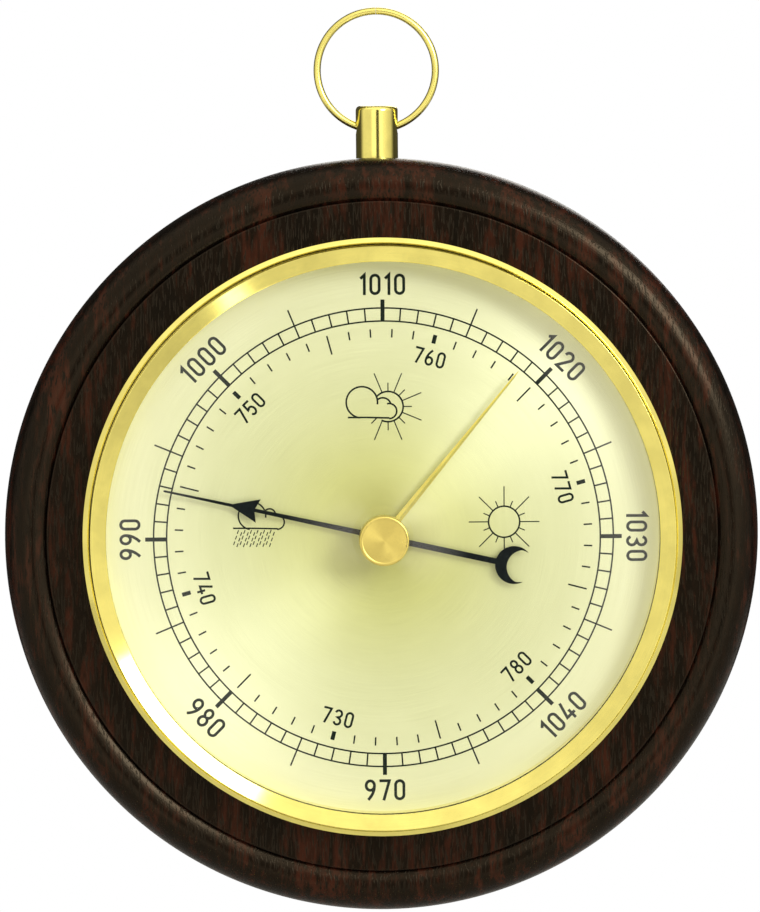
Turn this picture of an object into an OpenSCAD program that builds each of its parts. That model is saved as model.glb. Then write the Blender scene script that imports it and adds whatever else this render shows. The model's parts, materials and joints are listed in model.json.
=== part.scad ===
// A ship's aneroid barometer in a turned wooden case with a hanging ring.
//
// Every sub-part is drawn in the dial's own frame: x to the right, y up the wall, z out of the
// wall towards the reader, with z = 0 on the case's back face. facing() stands that frame up,
// so the dial faces -Y and +Z is up, with the origin at the centre of the back face.
//
// The aneroid movement: falling pressure lets the capsule swell, its post lifts the pressure
// lever, the link lifts the rocker's crank, the rocker's upright rod pushes the sector's slotted
// tail, and the sector turns the pinion on the pointer's arbor.

/* [Case] */
// Diameter of the turned wooden case
case_d = 130; // [128:1:140]
// Height of the case's flat front ring above the wall
ring_z = 27; // [27:0.5:29]
// Diameter of the access opening in the back of the case
back_open_d = 60; // [58:1:64]

/* [Bezel and window] */
// Outer diameter of the bezel
bezel_d = 103.5; // [103:0.5:106]
// Diameter of the dial that shows inside the bezel
window_d = 94.4; // [92:0.2:94.8]
// Height of the bezel's crest above the flat ring
bezel_h = 5.6; // [5.2:0.1:6.5]

/* [Pointer and set hand] */
// Pressure that the pointer shows, in hPa
reading = 992.8; // [970:0.1:1050]
// Pressure that the set hand was left at, in hPa
set_reading = 1018.8; // [970:0.1:1050]
// Length of the pointer from the centre to its tip
pointer_len = 38.6; // [36:0.2:40]
// Length of the set hand from the centre to its tip
set_len = 36.8; // [30:0.2:40]
// Diameter of the setting knob
knob_d = 8.5; // [7:0.1:10]
// Height of the setting knob
knob_h = 4.5; // [3:0.1:6]

/* [Hanger] */
// Outer diameter of the hanging ring
hang_ring_d = 21.75; // [20:0.05:24]
// Thickness of the ring's wire
ring_wire = 1.25; // [1:0.05:1.4]
// Diameter of the hanger stud
stud_d = 7.3; // [6.5:0.1:8]
// Height of the hanger stud above the case
stud_h = 9.1; // [8:0.1:10]

/* [Movement] */
// Diameter of the aneroid capsule
capsule_d = 40; // [34:1:41]
// Diameter of the movement's base plate
base_d = 69; // [67:0.5:71]
// Thickness of the pressure lever
lever_t = 0.8; // [0.6:0.1:1]

/* [Hidden] */
$fn = 96;

// Small gaps
slack = 0.05;             // radial gap of a shaft in its bearing and of a screw in its hole
pocket_gap = 0.4;         // gap between the can and the case's pocket

// Levels along z, counted up from the wall
floor_z = 4;              // top of the case's wooden floor
can_t = 0.6;              // thickness of the can's sheet metal
base_z = 6;               // underside of the base plate
base_t = 1.2;
leaf_z = 8;               // underside of the capsule's carrier leaf
leaf_t = 0.8;
rocker_z = 9.8;           // axis of the rocker

// Levels counted down from the case's flat ring
dial_top = ring_z - 1;
dial_t = 0.6;
foot_h = 0.8;
plate_t = 1;
front_z = dial_top - dial_t - foot_h - plate_t;    // underside of the front plate
bridge_t = 0.8;
bridge_z = front_z - 3.8;                          // underside of the lower bridge
sector_z = front_z - 1.8;                          // middle of the sector's plate
spring_z = front_z - 0.8;                          // underside of the hairspring
lever_z = bridge_z - 2.2;                          // axis of the pressure lever

// Levels counted up from the dial
hand_z = dial_top + 1.2;                           // underside of the pointer's blade
hand_t = 0.3;
arbor_top = dial_top + 1.9;
set_z = dial_top + 2.4;                            // underside of the set hand
set_t = 0.2;
glass_z = dial_top + 3.2;
glass_t = 1.8;
glass_top = glass_z + glass_t;
washer_t = 0.5;

// Radii of the round shell
case_r = case_d / 2;
window_r = window_d / 2;
bezel_r = bezel_d / 2;
can_r = 49.2;
pocket_r = can_r + pocket_gap;
flange_r = 50.8;
cell_r = can_r - can_t - 0.1;                      // dial, spacer ring and glass fit this radius
arris_r = 57.7;                                    // the flat ring's sharp outer edge
quirk_h = 1;                                       // step down from the arris to the bead
bead_r = case_r - arris_r - 2.7;                   // the bead's ridge lies 2.7 outside the arris
bead_z = ring_z - bead_r;

// Hanger
hang_z = 13;                                       // the stud's distance from the wall
seat_y = case_r - 0.15;                            // flat seat of the stud on the case's side
ring_r = (hang_ring_d - ring_wire) / 2;
eye_r = 1.1;                                       // hole through the stud for the ring's wire
eye_y = seat_y + stud_h - 3.76;
ring_y = eye_y + ring_r - 0.34;
ring_gap = 2;                                      // angle left open where the wire's ends meet

// Gear train
pinion_teeth = 12;
sector_teeth = 144;
gear_m = 0.36;
pressure_angle = 20;
backlash = 0.02;
pinion_r = gear_m * pinion_teeth / 2;
sector_r = gear_m * sector_teeth / 2;
sector_y = -27;
sector_x = sqrt(pow(pinion_r + sector_r, 2) - pow(sector_y, 2));
mesh_angle = atan2(-sector_y, -sector_x);          // direction from the sector's axis to the pinion
tooth_reach = 8;                                   // teeth on each side of the sector's middle

// Hairspring
spring_r = 1.6;                                    // collet's radius, where the spiral starts
spring_grow = 4.2;                                 // how far the spiral grows outwards
spring_turns = 4;
spring_t = 0.16;

// Motion, all drawn where the pointer's reading puts it
mid_reading = 1010;
degrees_per_hpa = 4.5;
pointer_angle = degrees_per_hpa * (reading - mid_reading);       // clockwise from the top
set_angle = degrees_per_hpa * (set_reading - mid_reading);
swing = pointer_angle * pinion_teeth / sector_teeth;             // sector and rocker

// Lever train
rod_h = sector_z - rocker_z;                       // rod's reach, equal to the sector tail's
rod_x = sector_x - rod_h;
crank_l = 4.2;
fulcrum_y = 8;
lever_l = fulcrum_y - sector_y + crank_l;
lever_angle = asin(crank_l * sin(swing) / lever_l);
capsule_lift = -fulcrum_y * sin(lever_angle);
link_l = lever_z - rocker_z;
pin_r = 0.4;

// Capsule
capsule_r = capsule_d / 2;
capsule_z = leaf_z + leaf_t + 0.6;
capsule_h = 3;                                     // height of one half
skin_t = 0.25;                                     // thickness of its corrugated sheet
post_top = lever_z - lever_t / 2 - slack;

// Places on the plates
pillar_at = [[25, 18], [-25, 18], [-25, -18], [25, -18]];
pillar_r = 1.75;
bridge_at = [[-9, 12], [9, 12], [16, -26]];
foot_at = [for (a = [30, 150, 270]) 22 * [cos(a), sin(a)]];
base_screw_at = [for (a = [90, 210, 330]) 25 * [cos(a), sin(a)]];
case_screw_at = [for (a = [60, 180, 300]) 40.5 * [cos(a), sin(a)]];
carrier_screw_at = [[-27, 4], [-27, -4]];
adjuster_x = 24;

// Colours
mahogany = [0.24, 0.13, 0.09];
gilt = [0.80, 0.64, 0.38];
brass = [0.76, 0.62, 0.34];
steel = [0.62, 0.63, 0.65];
blued = [0.06, 0.06, 0.08];
nickel = [0.72, 0.70, 0.66];
champagne = [0.72, 0.68, 0.56];

// ---------------------------------------------------------------- helpers

module facing() {
    rotate([90, 0, 0]) children();
}

module disc(r, z0, z1) {
    translate([0, 0, z0]) cylinder(r = r, h = z1 - z0);
}

module tube(r_out, r_in, z0, z1) {
    difference() {
        disc(r_out, z0, z1);
        disc(r_in, z0 - 1, z1 + 1);
    }
}

module slab(x0, x1, y0, y1, z0, z1) {
    translate([x0, y0, z0]) cube([x1 - x0, y1 - y0, z1 - z0]);
}

// A bar from x0 to x1 along x
module bar_x(r, x0, x1) {
    translate([x0, 0, 0]) rotate([0, 90, 0]) cylinder(r = r, h = x1 - x0);
}

module at_each(places) {
    for (p = places) translate([p[0], p[1], 0]) children();
}

module blade(z, t) {
    translate([0, 0, z]) linear_extrude(height = t) children();
}

// A slotted screw whose head stands on z = 0 and whose shank runs down to -length
module screw(head_r, head_h, shank_r, length) {
    difference() {
        union() {
            disc(head_r, 0, head_h);
            disc(shank_r, -length, 0.01);
        }
        translate([-head_r - 1, -0.2 * head_r, head_h * 0.55])
            cube([2 * head_r + 2, 0.4 * head_r, head_h]);
    }
}

// ---------------------------------------------------------------- gear teeth

function roll(a) = tan(a) * 180 / PI - a;
function flank_half(teeth, r) =
    let (
        pitch = gear_m * teeth / 2,
        base = pitch * cos(pressure_angle),
        a = acos(min(1, base / max(r, base)))
    )
    90 / teeth - backlash / pitch * 180 / PI + roll(pressure_angle) - roll(a);
function polar(r, a) = [r * cos(a), r * sin(a)];

// One tooth centred on angle a, from its right root to its left root
function tooth(teeth, root, tip, a, steps = 5) =
    let (rs = [for (i = [0 : steps]) root + (tip - root) * i / steps])
    concat(
        [for (i = [0 : steps]) polar(rs[i], a - flank_half(teeth, rs[i]))],
        [for (i = [steps : -1 : 0]) polar(rs[i], a + flank_half(teeth, rs[i]))]
    );

function tooth_row(teeth, root, tip, first, last, offset = 0) =
    [for (k = [first : last]) each tooth(teeth, root, tip, (k + offset) * 360 / teeth)];

// ---------------------------------------------------------------- case and hanger

module case_profile() {
    polygon([
        [back_open_d / 2, 0], [case_r - 2, 0], [case_r, 2], [case_r, bead_z],
        [case_r - bead_r, bead_z], [case_r - bead_r, ring_z - quirk_h], [arris_r, ring_z - quirk_h],
        [arris_r, ring_z], [pocket_r, ring_z], [pocket_r, floor_z], [back_open_d / 2, floor_z]
    ]);
    translate([case_r - bead_r, bead_z]) circle(r = bead_r);
}

module wood_case() {
    color(mahogany) facing() difference() {
        rotate_extrude($fn = 180) case_profile();
        at_each(case_screw_at) {
            disc(1.5 + slack, -1, floor_z + 1);
            disc(3.2, -1, 1.8);
        }
        translate([0, 0, hang_z]) rotate([-90, 0, 0]) {
            disc(2 + slack, case_r - 10, case_r + 1);
            disc(stud_d / 2 + 0.1, seat_y, case_r + 1);
        }
    }
}

module hanger_stud() {
    edge = 0.8;
    color(gilt) facing() translate([0, 0, hang_z]) rotate([-90, 0, 0]) difference() {
        union() {
            disc(2, case_r - 9.5, seat_y + 0.01);
            disc(stud_d / 2, seat_y, seat_y + stud_h - edge);
            disc(stud_d / 2 - edge, seat_y, seat_y + stud_h);
            translate([0, 0, seat_y + stud_h - edge])
                rotate_extrude() translate([stud_d / 2 - edge, 0]) intersection() {
                    circle(r = edge);
                    square(edge);
                }
        }
        translate([0, 0, eye_y]) bar_x(eye_r, -stud_d, stud_d);
    }
}

module hanging_ring() {
    color(gilt) facing() translate([0, ring_y, hang_z])
        rotate([0, 0, 90 + ring_gap / 2])
            rotate_extrude(angle = 360 - ring_gap, $fn = 120)
                translate([ring_r, 0]) circle(r = ring_wire / 2, $fn = 32);
}

// ---------------------------------------------------------------- can and its fixings

module can_profile() {
    polygon([
        [4, floor_z], [can_r, floor_z], [can_r, ring_z], [flange_r, ring_z],
        [flange_r, ring_z + can_t], [can_r - can_t, ring_z + can_t],
        [can_r - can_t, floor_z + can_t], [4, floor_z + can_t]
    ]);
}

module movement_can() {
    color(nickel) facing() difference() {
        rotate_extrude($fn = 180) can_profile();
        at_each(base_screw_at) disc(1.3 + slack, 0, base_z);
        at_each(case_screw_at) disc(1.5 + slack, 0, base_z);
        translate([adjuster_x, 0, 0]) disc(3, 0, base_z);
    }
}

module case_screws() {
    color(steel) facing() at_each(case_screw_at)
        translate([0, 0, 1.8]) mirror([0, 0, 1]) screw(3, 1.5, 1.5, 5.4);
}

module case_nuts() {
    color(steel) facing() at_each(case_screw_at) difference() {
        translate([0, 0, floor_z + can_t]) cylinder(r = 3, h = 2, $fn = 6);
        disc(1.5 + slack, floor_z, floor_z + 6);
    }
}

module base_spacers() {
    color(brass) facing() at_each(base_screw_at) tube(2.6, 1.3 + slack, floor_z + can_t, base_z);
}

module movement_screws() {
    color(steel) facing() at_each(base_screw_at)
        translate([0, 0, floor_z]) mirror([0, 0, 1]) screw(2.4, 1.2, 1.3, 3.1);
}

// ---------------------------------------------------------------- movement frame

module base_plate() {
    color(brass) facing() difference() {
        disc(base_d / 2, base_z, base_z + base_t);
        disc(5, 0, leaf_z);
        at_each(base_screw_at) disc(1.3 + slack, 0, leaf_z);
        at_each(carrier_screw_at) disc(0.9 + slack, 0, leaf_z);
        translate([adjuster_x, 0, 0]) disc(1.4 + slack, 0, leaf_z);
    }
}

module plate_pillars() {
    color(brass) facing() at_each(pillar_at) difference() {
        disc(pillar_r, base_z + base_t, front_z);
        disc(0.9 + slack, front_z - 3.5, front_z + 1);
    }
}

module plate_screws() {
    color(steel) facing() at_each(pillar_at)
        translate([0, 0, front_z + plate_t]) screw(1.7, 0.6, 0.9, 4);
}

module front_plate() {
    color(brass) facing() difference() {
        disc(33, front_z, front_z + plate_t);
        disc(0.7 + slack, front_z - 1, front_z + 2);
        translate([sector_x, sector_y, 0]) disc(0.6 + slack, front_z - 1, front_z + 2);
        at_each(pillar_at) disc(0.9 + slack, front_z - 1, front_z + 2);
        at_each(foot_at) disc(1 + slack, front_z - 1, front_z + 2);
        for (x = [-15, 15]) translate([x, -4, 0]) disc(6.5, front_z - 1, front_z + 2);
    }
}

module lower_bridge() {
    color(brass) facing() difference() {
        union() {
            slab(-12.5, 12.5, 4, 15.5, bridge_z, bridge_z + bridge_t);
            blade(bridge_z, bridge_t) polygon([
                [-4, 5], [-4, -5], [3.5, -20], [3.5, -30.5],
                [19.5, -30.5], [19.5, -21.5], [12, -19], [6, 5]
            ]);
        }
        disc(0.7 + slack, bridge_z - 1, bridge_z + 2);
        translate([sector_x, sector_y, 0]) disc(0.6 + slack, bridge_z - 1, bridge_z + 2);
        at_each(bridge_at) disc(0.8 + slack, bridge_z - 1, bridge_z + 2);
    }
}

module bridge_pillars() {
    color(brass) facing() at_each(bridge_at) difference() {
        disc(1.6, bridge_z + bridge_t, front_z);
        disc(0.8 + slack, bridge_z, front_z - 0.6);
    }
}

module bridge_screws() {
    color(steel) facing() at_each(bridge_at)
        translate([0, 0, bridge_z]) mirror([0, 0, 1]) screw(1.5, 0.9, 0.8, 2.8);
}

// ---------------------------------------------------------------- capsule

module carrier_block() {
    color(brass) facing() difference() {
        slab(-30, -24, -7, 7, base_z + base_t, leaf_z);
        at_each(carrier_screw_at) disc(0.9 + slack, base_z, leaf_z + 1);
    }
}

module capsule_carrier() {
    color(steel) facing() difference() {
        slab(-30, adjuster_x + 3, -7, 7, leaf_z, leaf_z + leaf_t);
        disc(1.6 + slack, leaf_z - 1, leaf_z + 2);
        at_each(carrier_screw_at) disc(0.9 + slack, leaf_z - 1, leaf_z + 2);
    }
}

module carrier_screws() {
    color(steel) facing() at_each(carrier_screw_at)
        translate([0, 0, leaf_z + leaf_t]) screw(1.6, 0.9, 0.9, leaf_t + 0.8 + base_t);
}

module capsule_nut() {
    color(steel) facing() difference() {
        translate([0, 0, leaf_z - 1.1]) cylinder(r = 3.4, h = 1.1, $fn = 6);
        disc(1.6 + slack, leaf_z - 2, leaf_z + 1);
    }
}

// Half of the capsule's corrugated sheet, from its crimped rim at r = capsule_r to its centre
module capsule_sheet() {
    rise = capsule_h - 0.8;
    step = (capsule_r - 7) / 5;
    outline = concat(
        [[capsule_r, 0], [capsule_r - 1.5, 0], [capsule_r - 2.2, rise]],
        [for (i = [1 : 4]) [capsule_r - 2.2 - i * step, rise + (i % 2 == 1 ? 0.5 : 0)]],
        [[5, capsule_h - skin_t], [0, capsule_h - skin_t]]
    );
    polygon(concat(
        [for (p = outline) [p[0], p[1] + skin_t]],
        [for (i = [len(outline) - 1 : -1 : 0]) outline[i]]
    ));
}

module capsule_lower() {
    color(nickel) facing() {
        translate([0, 0, capsule_z + capsule_h]) mirror([0, 0, 1])
            rotate_extrude() capsule_sheet();
        disc(3, leaf_z + leaf_t, capsule_z + skin_t / 2);
        disc(1.6, leaf_z - 1.3, capsule_z + skin_t / 2);
    }
}

module capsule_upper() {
    color(nickel) facing() translate([0, 0, capsule_z + capsule_h + capsule_lift])
        rotate_extrude() capsule_sheet();
}

module capsule_post() {
    base = capsule_z + 2 * capsule_h;
    color(brass) facing() translate([0, 0, capsule_lift]) {
        disc(2.5, base, base + 0.6);
        disc(1.1, base, post_top - 0.3);
        translate([0, 0, post_top - 1.1]) intersection() {
            sphere(r = 1.1);
            disc(2, 0.3, 2);
        }
    }
}

// ---------------------------------------------------------------- lever train

module at_fulcrum() {
    facing() translate([0, fulcrum_y, lever_z]) children();
}

module fulcrum_bracket() {
    color(brass) at_fulcrum() {
        top = bridge_z - lever_z;
        slab(-4.4, 4.4, -3.5, 3.5, top - 0.6, top);
        for (side = [-1, 1]) difference() {
            union() {
                slab(side > 0 ? 3.4 : -4.4, side > 0 ? 4.4 : -3.4, -1.6, 1.6, 0, top);
                bar_x(1.6, side > 0 ? 3.4 : -4.4, side > 0 ? 4.4 : -3.4);
            }
            bar_x(0.8 + slack, -6, 6);
        }
    }
}

module pressure_lever() {
    color(steel) at_fulcrum() rotate([lever_angle, 0, 0]) difference() {
        union() {
            bar_x(1.4, -3, 3);
            slab(-2.2, 2.2, -lever_l + 2.5, 0, -lever_t / 2, lever_t / 2);
            slab(-0.6, 0.6, -lever_l - 1.2, -lever_l + 3.5, -1, 1);
        }
        bar_x(0.8, -4, 4);
        for (y = [-0.15, 0, 0.15]) translate([0, y - lever_l, 0]) bar_x(pin_r + 0.15, -2, 2);
    }
}

module lever_shaft() {
    color(steel) at_fulcrum() rotate([lever_angle, 0, 0]) bar_x(0.8, -5, 5);
}

module at_rocker() {
    facing() translate([0, sector_y, rocker_z]) children();
}

module rocker_bracket() {
    foot = base_z + base_t - rocker_z;
    left = rod_x - 2.6;
    color(brass) at_rocker() {
        slab(left - 1, 5, -1.6, 3.5, foot, foot + 0.6);
        for (x = [left - 1, 4]) difference() {
            union() {
                slab(x, x + 1, -1.6, 1.6, foot, 0);
                bar_x(1.6, x, x + 1);
            }
            bar_x(0.7 + slack, left - 5, 8);
        }
    }
}

module rocker_shaft() {
    color(steel) at_rocker() rotate([swing, 0, 0]) bar_x(0.7, rod_x - 4.2, 5.6);
}

module rocker_rod() {
    color(steel) at_rocker() rotate([swing, 0, 0]) difference() {
        union() {
            bar_x(1.3, rod_x - 1.2, rod_x + 1.2);
            translate([rod_x, 0, 0]) disc(0.5, 0, rod_h + 1.1);
        }
        bar_x(0.7, rod_x - 2, rod_x + 2);
    }
}

module rocker_crank() {
    color(steel) at_rocker() rotate([swing, 0, 0]) difference() {
        union() {
            bar_x(1.4, -1, 0.6);
            slab(-0.6, 0.6, -crank_l, 0, -0.7, 0.7);
            translate([0, -crank_l, 0]) bar_x(0.7, -0.6, 0.6);
            translate([0, -crank_l, 0]) bar_x(pin_r, 0, 1.7);
        }
        bar_x(0.7, -2, 2);
    }
}

module link_rod() {
    color(steel) at_rocker() translate([0, -crank_l * cos(swing), -crank_l * sin(swing)]) {
        difference() {
            union() {
                slab(0.75, 1.5, -0.5, 0.5, 0, link_l);
                for (z = [0, link_l]) translate([0, 0, z]) bar_x(0.85, 0.75, 1.5);
            }
            bar_x(pin_r + slack, -1, 3);
        }
        translate([0, 0, link_l]) bar_x(pin_r, -1, 1);
    }
}

// ---------------------------------------------------------------- sector and pointer train

module at_sector() {
    facing() translate([sector_x, sector_y, 0]) rotate([0, 0, swing]) children();
}

// Drawn with the middle tooth on +x
module sector_outline() {
    half = (tooth_reach + 0.5) * 360 / sector_teeth;
    root = sector_r - 1.33 * gear_m;
    tip = sector_r + 0.7 * gear_m;
    rim = root - 2.2;
    polygon(concat(
        tooth_row(sector_teeth, root, tip, -tooth_reach, tooth_reach),
        [for (i = [12 : -1 : -12]) polar(rim, half * i / 12)]
    ));
    for (side = [-1, 1]) rotate(side * (half - 3)) translate([0, -0.8]) square([rim + 0.4, 1.6]);
    circle(r = 2.6);
}

module sector_gear() {
    color(brass) at_sector() difference() {
        blade(sector_z - 0.4, 0.8) {
            rotate(mesh_angle) sector_outline();
            translate([-rod_h - 1.6, -1.4]) square([rod_h + 1.6, 2.8]);
        }
        disc(1, sector_z - 1, sector_z + 1);
        translate([-rod_h, 0, 0]) {
            slab(-0.45, 0.15, -0.65, 0.65, sector_z - 1, sector_z + 1);
            for (x = [-0.45, 0.15]) translate([x, 0, 0]) disc(0.65, sector_z - 1, sector_z + 1);
        }
    }
}

module sector_arbor() {
    color(steel) at_sector() {
        disc(0.6, bridge_z, front_z + plate_t);
        disc(1, bridge_z + bridge_t + 0.1, front_z - 0.1);
    }
}

module at_pointer() {
    facing() rotate([0, 0, -pointer_angle]) children();
}

module pointer_arbor() {
    root = pinion_r - 1.03 * gear_m;
    tip = pinion_r + gear_m;
    color(steel) at_pointer() {
        disc(0.7, bridge_z, arbor_top);
        disc(1, bridge_z + bridge_t + 0.1, front_z - 0.1);
        // a gap between two teeth faces the sector when the pointer stands at mid-reading
        blade(sector_z - 0.9, 1.8) rotate(mesh_angle + 180)
            polygon(tooth_row(pinion_teeth, root, tip, 0, pinion_teeth - 1, 0.5));
    }
}

module pointer_collet() {
    color(brass) at_pointer() difference() {
        union() {
            disc(1.7, dial_top + 0.4, hand_z);
            disc(1.1, hand_z, hand_z + hand_t + 0.25);
        }
        disc(0.7, dial_top - 1, arbor_top + 1);
    }
}

module pointer_outline() {
    barb_y = 0.567 * pointer_len;       // where the arrowhead's barbs end
    notch_y = barb_y + 0.5;
    apex_y = barb_y + 4.5;
    moon_y = 0.598 * pointer_len;       // the counterweight's crescent
    polygon([
        [0.5, 0], [0.3, notch_y], [2.05, barb_y], [0.27, apex_y], [0.17, pointer_len - 0.3],
        [0, pointer_len],
        [-0.17, pointer_len - 0.3], [-0.27, apex_y], [-2.05, barb_y], [-0.3, notch_y], [-0.5, 0]
    ]);
    translate([-0.5, -moon_y + 2.6]) square([1, moon_y - 2.6]);
    circle(r = 1.9);
    difference() {
        translate([0, -moon_y]) circle(r = 3.27);
        translate([0, -moon_y - 1.69]) circle(r = 2.93);
    }
}

module pointer_hand() {
    color(blued) at_pointer() difference() {
        blade(hand_z, hand_t) pointer_outline();
        disc(1.1, hand_z - 1, hand_z + 2);
    }
}

module hairspring_collet() {
    color(brass) at_pointer() tube(spring_r, 0.7, spring_z - 0.05, spring_z + 0.55);
}

// The flat strip's two faces, wound from the collet out to the stud
function spiral(a, side) =
    polar(spring_r + spring_grow * a / (360 * spring_turns) + side * spring_t / 2, a);

module hairspring() {
    end = 360 * spring_turns;
    color(steel) facing() blade(spring_z, 0.5) polygon(concat(
        [for (a = [0 : 12 : end]) spiral(a, -1)],
        [for (a = [end : -12 : 0]) spiral(a, 1)]
    ));
}

module hairspring_stud() {
    inner = spring_r + spring_grow + 0.1;
    color(brass) facing() slab(inner, inner + 1.2, -0.7, 0.7, spring_z, front_z);
}

// ---------------------------------------------------------------- adjuster

module adjusting_screw() {
    color(brass) facing() translate([adjuster_x, 0, 0]) difference() {
        union() {
            disc(1.4, base_z - 0.5, leaf_z);
            disc(2.3, floor_z - 0.2, base_z - 0.4);
        }
        slab(-3, 3, -0.4, 0.4, floor_z - 1, floor_z + 0.5);
    }
}

// ---------------------------------------------------------------- dial, glass and bezel

module dial() {
    color(champagne) facing() tube(cell_r - 0.1, 2.5, dial_top - dial_t, dial_top, $fn = 180);
}

module dial_feet() {
    color(brass) facing() at_each(foot_at) {
        disc(2, front_z + plate_t, dial_top - dial_t);
        disc(1, front_z - 0.3, front_z + plate_t + 0.01);
    }
}

module dial_spacer_ring() {
    color(gilt) facing() tube(cell_r, cell_r - 1, dial_top, glass_z, $fn = 180);
}

module glass() {
    color([0.85, 0.90, 0.90, 0.3]) facing() tube(cell_r - 0.1, 1.2, glass_z, glass_top, $fn = 180);
}

module bezel_profile() {
    crest = ring_z + bezel_h;
    band_r = bezel_r - 1.4;              // outer foot of the bright band
    polygon([
        [flange_r + 0.1, ring_z], [bezel_r, ring_z], [bezel_r, ring_z + 1.4],
        [bezel_r - 0.35, ring_z + 2.1], [bezel_r - 0.9, ring_z + 2.2],
        [band_r + 0.1, ring_z + 1.7], [band_r, crest - 0.6], [band_r - 0.3, crest - 0.1],
        [band_r - 0.8, crest], [window_r, glass_top + 0.5], [window_r, glass_top],
        [can_r - can_t, glass_top], [can_r - can_t, ring_z + can_t], [flange_r + 0.1, ring_z + can_t]
    ]);
}

module bezel() {
    color(gilt) facing() rotate_extrude($fn = 180) bezel_profile();
}

// ---------------------------------------------------------------- set hand and its knob

module at_set_hand() {
    facing() rotate([0, 0, -set_angle]) children();
}

module set_hand() {
    fold = 0.35;                         // height of the folded ridge above the blade's edges
    color(gilt) at_set_hand() difference() {
        union() {
            blade(set_z, set_t) polygon([
                [0.65, 0], [0.13, set_len], [-0.13, set_len], [-0.65, 0]
            ]);
            blade(set_z, set_t + fold) polygon([
                [0.2, 0], [0.07, set_len - 1], [-0.07, set_len - 1], [-0.2, 0]
            ]);
            disc(2, set_z - 0.2, glass_z - slack);
        }
        disc(1, set_z - 1, glass_z);
    }
}

module set_knob() {
    base = glass_top + washer_t;
    rim = 0.35;
    color(brass) at_set_hand() {
        disc(1, set_z - 0.2, base + 0.1);
        disc(knob_d / 2 - 0.6, base, base + 0.5);
        disc(knob_d / 2, base + 0.5, base + knob_h - rim);
        difference() {
            translate([0, 0, base + knob_h - rim])
                cylinder(r1 = knob_d / 2, r2 = knob_d / 2 - rim, h = rim);
            translate([0, 0, base + knob_h - rim / 2])
                cylinder(r1 = 0.2, r2 = knob_d / 2 - rim - 0.2, h = rim / 2 + 0.001);
        }
    }
}

module knob_washer() {
    color(nickel) at_set_hand() tube(2.6, 1 + slack, glass_top, glass_top + washer_t);
}

// ---------------------------------------------------------------- nodes

wood_case();
hanger_stud();
hanging_ring();
movement_can();
case_screws();
case_nuts();
base_spacers();
movement_screws();
base_plate();
plate_pillars();
plate_screws();
capsule_carrier();
carrier_block();
carrier_screws();
capsule_nut();
capsule_lower();
capsule_upper();
capsule_post();
pressure_lever();
lever_shaft();
fulcrum_bracket();
lower_bridge();
bridge_pillars();
bridge_screws();
rocker_bracket();
rocker_shaft();
rocker_rod();
rocker_crank();
link_rod();
sector_gear();
sector_arbor();
pointer_arbor();
pointer_collet();
pointer_hand();
hairspring_collet();
hairspring();
hairspring_stud();
front_plate();
adjusting_screw();
dial();
dial_feet();
dial_spacer_ring();
glass();
bezel();
set_hand();
set_knob();
knob_washer();
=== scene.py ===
import json
import math

import bmesh
import bpy
from mathutils import Matrix, Vector
from mathutils.geometry import delaunay_2d_cdt

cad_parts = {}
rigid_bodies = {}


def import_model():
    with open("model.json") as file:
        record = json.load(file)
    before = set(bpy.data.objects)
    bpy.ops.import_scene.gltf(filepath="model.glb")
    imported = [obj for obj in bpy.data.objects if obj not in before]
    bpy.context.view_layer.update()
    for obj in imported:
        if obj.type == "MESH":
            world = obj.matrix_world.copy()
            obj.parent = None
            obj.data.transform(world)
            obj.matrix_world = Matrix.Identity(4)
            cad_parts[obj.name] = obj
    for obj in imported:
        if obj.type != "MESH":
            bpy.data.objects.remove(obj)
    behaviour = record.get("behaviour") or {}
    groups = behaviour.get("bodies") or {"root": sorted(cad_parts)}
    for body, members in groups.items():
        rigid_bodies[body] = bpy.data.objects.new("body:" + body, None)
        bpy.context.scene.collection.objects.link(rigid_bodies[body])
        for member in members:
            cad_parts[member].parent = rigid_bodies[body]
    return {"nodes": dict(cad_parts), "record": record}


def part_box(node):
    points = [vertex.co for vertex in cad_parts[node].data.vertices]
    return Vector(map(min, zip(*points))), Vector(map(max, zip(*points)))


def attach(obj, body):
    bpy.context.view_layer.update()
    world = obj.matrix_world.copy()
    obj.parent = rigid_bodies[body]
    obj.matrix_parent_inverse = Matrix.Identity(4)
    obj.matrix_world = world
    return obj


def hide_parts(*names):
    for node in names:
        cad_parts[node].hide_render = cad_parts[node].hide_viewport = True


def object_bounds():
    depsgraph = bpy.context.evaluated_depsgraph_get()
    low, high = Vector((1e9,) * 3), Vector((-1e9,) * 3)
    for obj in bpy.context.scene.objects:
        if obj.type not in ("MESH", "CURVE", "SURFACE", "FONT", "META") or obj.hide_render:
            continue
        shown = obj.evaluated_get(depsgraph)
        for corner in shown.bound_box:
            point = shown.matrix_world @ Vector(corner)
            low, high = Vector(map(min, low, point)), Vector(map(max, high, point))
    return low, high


# The ship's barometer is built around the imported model. Shapes are drawn in the dial's own
# frame in millimetres: x to the right, y up the wall, z out of the wall towards the reader.

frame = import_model()
cad_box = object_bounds()

MM = 0.001
DIAL_FRAME = Matrix.Rotation(math.pi / 2, 4, "X") @ Matrix.Scale(MM, 4)
ROUND = 360                      # steps round the large turned parts
SMALL_ROUND = 128                # steps round the small ones


# ------------------------------------------------------------------ places from the frame


def dial_box(node):
    """Lowest and highest corner of a CAD node in the dial's frame, in millimetres."""
    lo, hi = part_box(node)
    return Vector((lo.x, lo.z, -hi.y)) / MM, Vector((hi.x, hi.z, -lo.y)) / MM


def tip_of(node):
    """Clock angle in degrees and length in millimetres of a hand's tip, seen from the dial's centre."""
    points = [Vector((v.co.x, v.co.z)) / MM for v in frame["nodes"][node].data.vertices]
    reach = max(p.length for p in points)
    tip = sum((p for p in points if p.length > reach - 0.01), Vector((0, 0)))
    return math.degrees(math.atan2(tip.x, tip.y)), reach


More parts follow.
